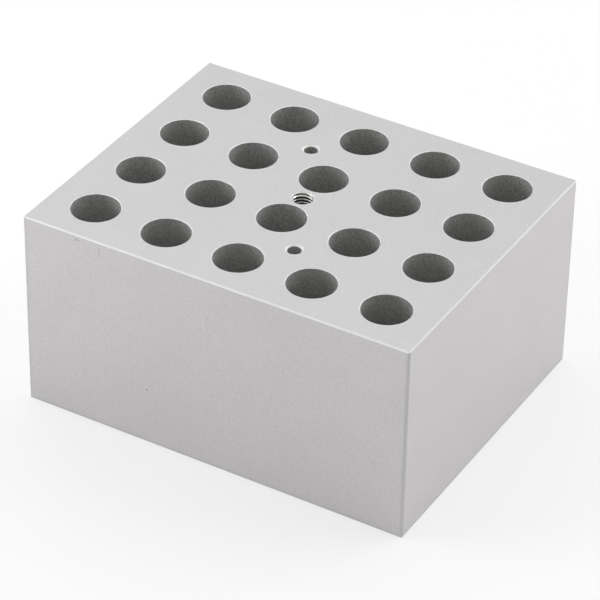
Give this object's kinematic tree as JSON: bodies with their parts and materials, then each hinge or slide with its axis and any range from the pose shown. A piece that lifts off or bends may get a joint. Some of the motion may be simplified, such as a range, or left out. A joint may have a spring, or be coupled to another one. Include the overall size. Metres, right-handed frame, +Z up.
{
  "type": "heat block insert",
  "caption": "Solid aluminium heat block with a grid of blind wells for small sample tubes, a tapped hole for lifting it out and narrow wells for a temperature probe.",
  "frame": {"origin": "middle of the flat underside", "axes": "+X along the longer rows of wells, +Y across them, +Z up out of the wells"},
  "size_m": [0.095, 0.076, 0.0485],
  "materials": {
    "aluminium": "fine bead-blasted, matt",
    "cut_thread": "bright cut"
  },
  "bodies": {
    "root": {"heat_block": "aluminium"}
  },
  "joints": []
}
